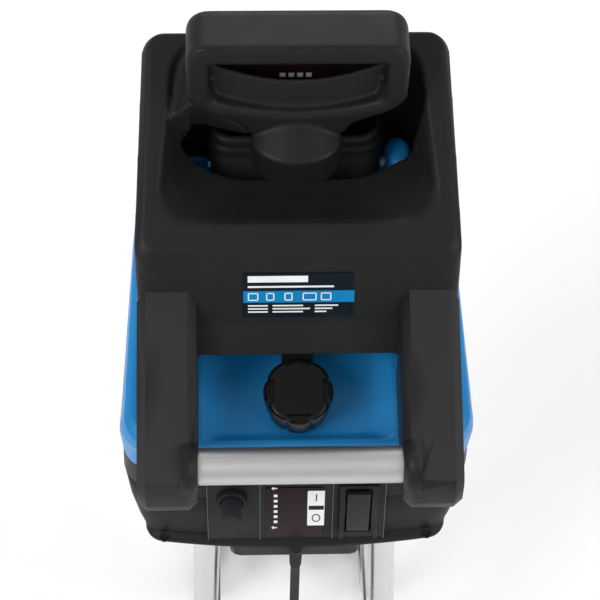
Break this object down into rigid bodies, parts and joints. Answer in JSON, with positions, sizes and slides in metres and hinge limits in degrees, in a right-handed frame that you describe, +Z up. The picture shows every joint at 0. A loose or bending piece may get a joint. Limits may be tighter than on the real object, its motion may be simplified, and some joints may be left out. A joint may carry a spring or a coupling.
{
  "type": "electric garden shredder",
  "caption": "Electric garden shredder on a wheeled tube stand: a feed hopper that tilts open over a belt-driven cutting disc, a clamping knob and a rear switch panel.",
  "frame": {"origin": "on the ground, below the middle of the machine's plan outline without its cord", "axes": "+Z up, +Y away from the operator towards the chip outlet, +X to the operator's right"},
  "size_m": [0.321, 0.413, 0.87],
  "materials": {
    "black_plastic": "fine-grained moulded black plastic",
    "knob_plastic": "satin black plastic",
    "switch_plastic": "semi-gloss black plastic",
    "hub_plastic": "moulded black plastic",
    "blue_plastic": "bright blue moulded plastic, satin",
    "rubber": "matte black rubber",
    "cord_rubber": "matte black rubber sheath",
    "bright_tube": "satin bright tube",
    "steel": "bare steel",
    "blade_steel": "ground blade steel",
    "aluminium": "cast aluminium",
    "motor_core": "laminated core with copper windings",
    "rating_label": null,
    "control_label": null
  },
  "bodies": {
    "housing": {"axle_spacer_left": "black_plastic", "axle_spacer_right": "black_plastic", "base_ring": "black_plastic", "base_shell": "black_plastic", "bottom_pan": "black_plastic", "console_panel": "black_plastic", "control_label": "control_label", "cord_gland": "rubber", "cord_tube": "cord_rubber", "discharge_chute": "black_plastic", "drive_belt": "rubber", "front_foot_left": "rubber", "front_foot_right": "rubber", "front_leg_frame": "bright_tube", "hinge_pin_left": "steel", "hinge_pin_right": "steel", "hub_cap_left": "hub_plastic", "hub_cap_right": "hub_plastic", "lower_bearing": "steel", "motor_plate": "aluminium", "motor_stator": "motor_core", "plug_body": "rubber", "plug_pin_left": "steel", "plug_pin_right": "steel", "rear_leg_left": "bright_tube", "rear_leg_right": "bright_tube", "reset_collar": "black_plastic", "side_brace_left": "steel", "side_brace_right": "steel", "switch_frame": "black_plastic", "upper_bearing": "steel", "upper_housing": "blue_plastic", "wheel_axle": "steel"},
    "hopper": {"hopper_shell": "black_plastic", "feed_hood": "black_plastic", "feed_throat": "black_plastic", "arm_left": "black_plastic", "arm_right": "black_plastic", "grip_tube": "bright_tube", "clamp_tab": "black_plastic", "rating_label": "rating_label"},
    "knob": {"clamp_knob": "knob_plastic"},
    "cutter": {"disc_shaft": "steel", "cutting_disc": "steel", "disc_nut": "steel", "blade_a": "blade_steel", "blade_b": "blade_steel", "blade_screw_a_inner": "steel", "blade_screw_a_outer": "steel", "blade_screw_b_inner": "steel", "blade_screw_b_outer": "steel", "disc_pulley": "aluminium"},
    "motor_rotor": {"motor_armature": "motor_core", "motor_pulley": "steel"},
    "left_wheel": {"wheel_left": "hub_plastic"},
    "right_wheel": {"wheel_right": "hub_plastic"},
    "rocker": {"rocker_switch": "switch_plastic"},
    "reset": {"reset_button": "rubber"}
  },
  "joints": [
    {"name": "hopper_tilt", "type": "hinge", "parent": "housing", "child": "hopper", "pos_m": [0, 0.1905, 0.644], "axis": [-1, 0, 0], "range_deg": [0, 85]},
    {"name": "knob_turn", "type": "hinge", "parent": "hopper", "child": "knob", "pos_m": [0, -0.0405, 0.58118], "axis": [0, -0.2588, 0.9659], "range_deg": [0, 1440]},
    {"name": "disc_spin", "type": "hinge", "parent": "housing", "child": "cutter", "pos_m": [0, 0.0385, 0.542], "axis": [0, 0, 1], "continuous": true},
    {"name": "motor_spin", "type": "hinge", "parent": "housing", "child": "motor_rotor", "pos_m": [0, -0.0225, 0.455], "axis": [0, 0, 1], "continuous": true},
    {"name": "wheel_left_spin", "type": "hinge", "parent": "housing", "child": "left_wheel", "pos_m": [-0.137, -0.1315, 0.075], "axis": [1, 0, 0], "continuous": true},
    {"name": "wheel_right_spin", "type": "hinge", "parent": "housing", "child": "right_wheel", "pos_m": [0.137, -0.1315, 0.075], "axis": [1, 0, 0], "continuous": true},
    {"name": "rocker_tip", "type": "hinge", "parent": "housing", "child": "rocker", "pos_m": [0.0572, -0.0819, 0.4668], "axis": [1, 0, 0], "range_deg": [-10, 0]},
    {"name": "reset_press", "type": "slide", "parent": "housing", "child": "reset", "axis": [0, 0.9736, -0.2284], "range_m": [0, 0.004], "stiffness_N_per_m": 400}
  ],
  "couplings": [
    {"joint": "motor_spin", "follows": "disc_spin", "ratio": 4.9}
  ]
}
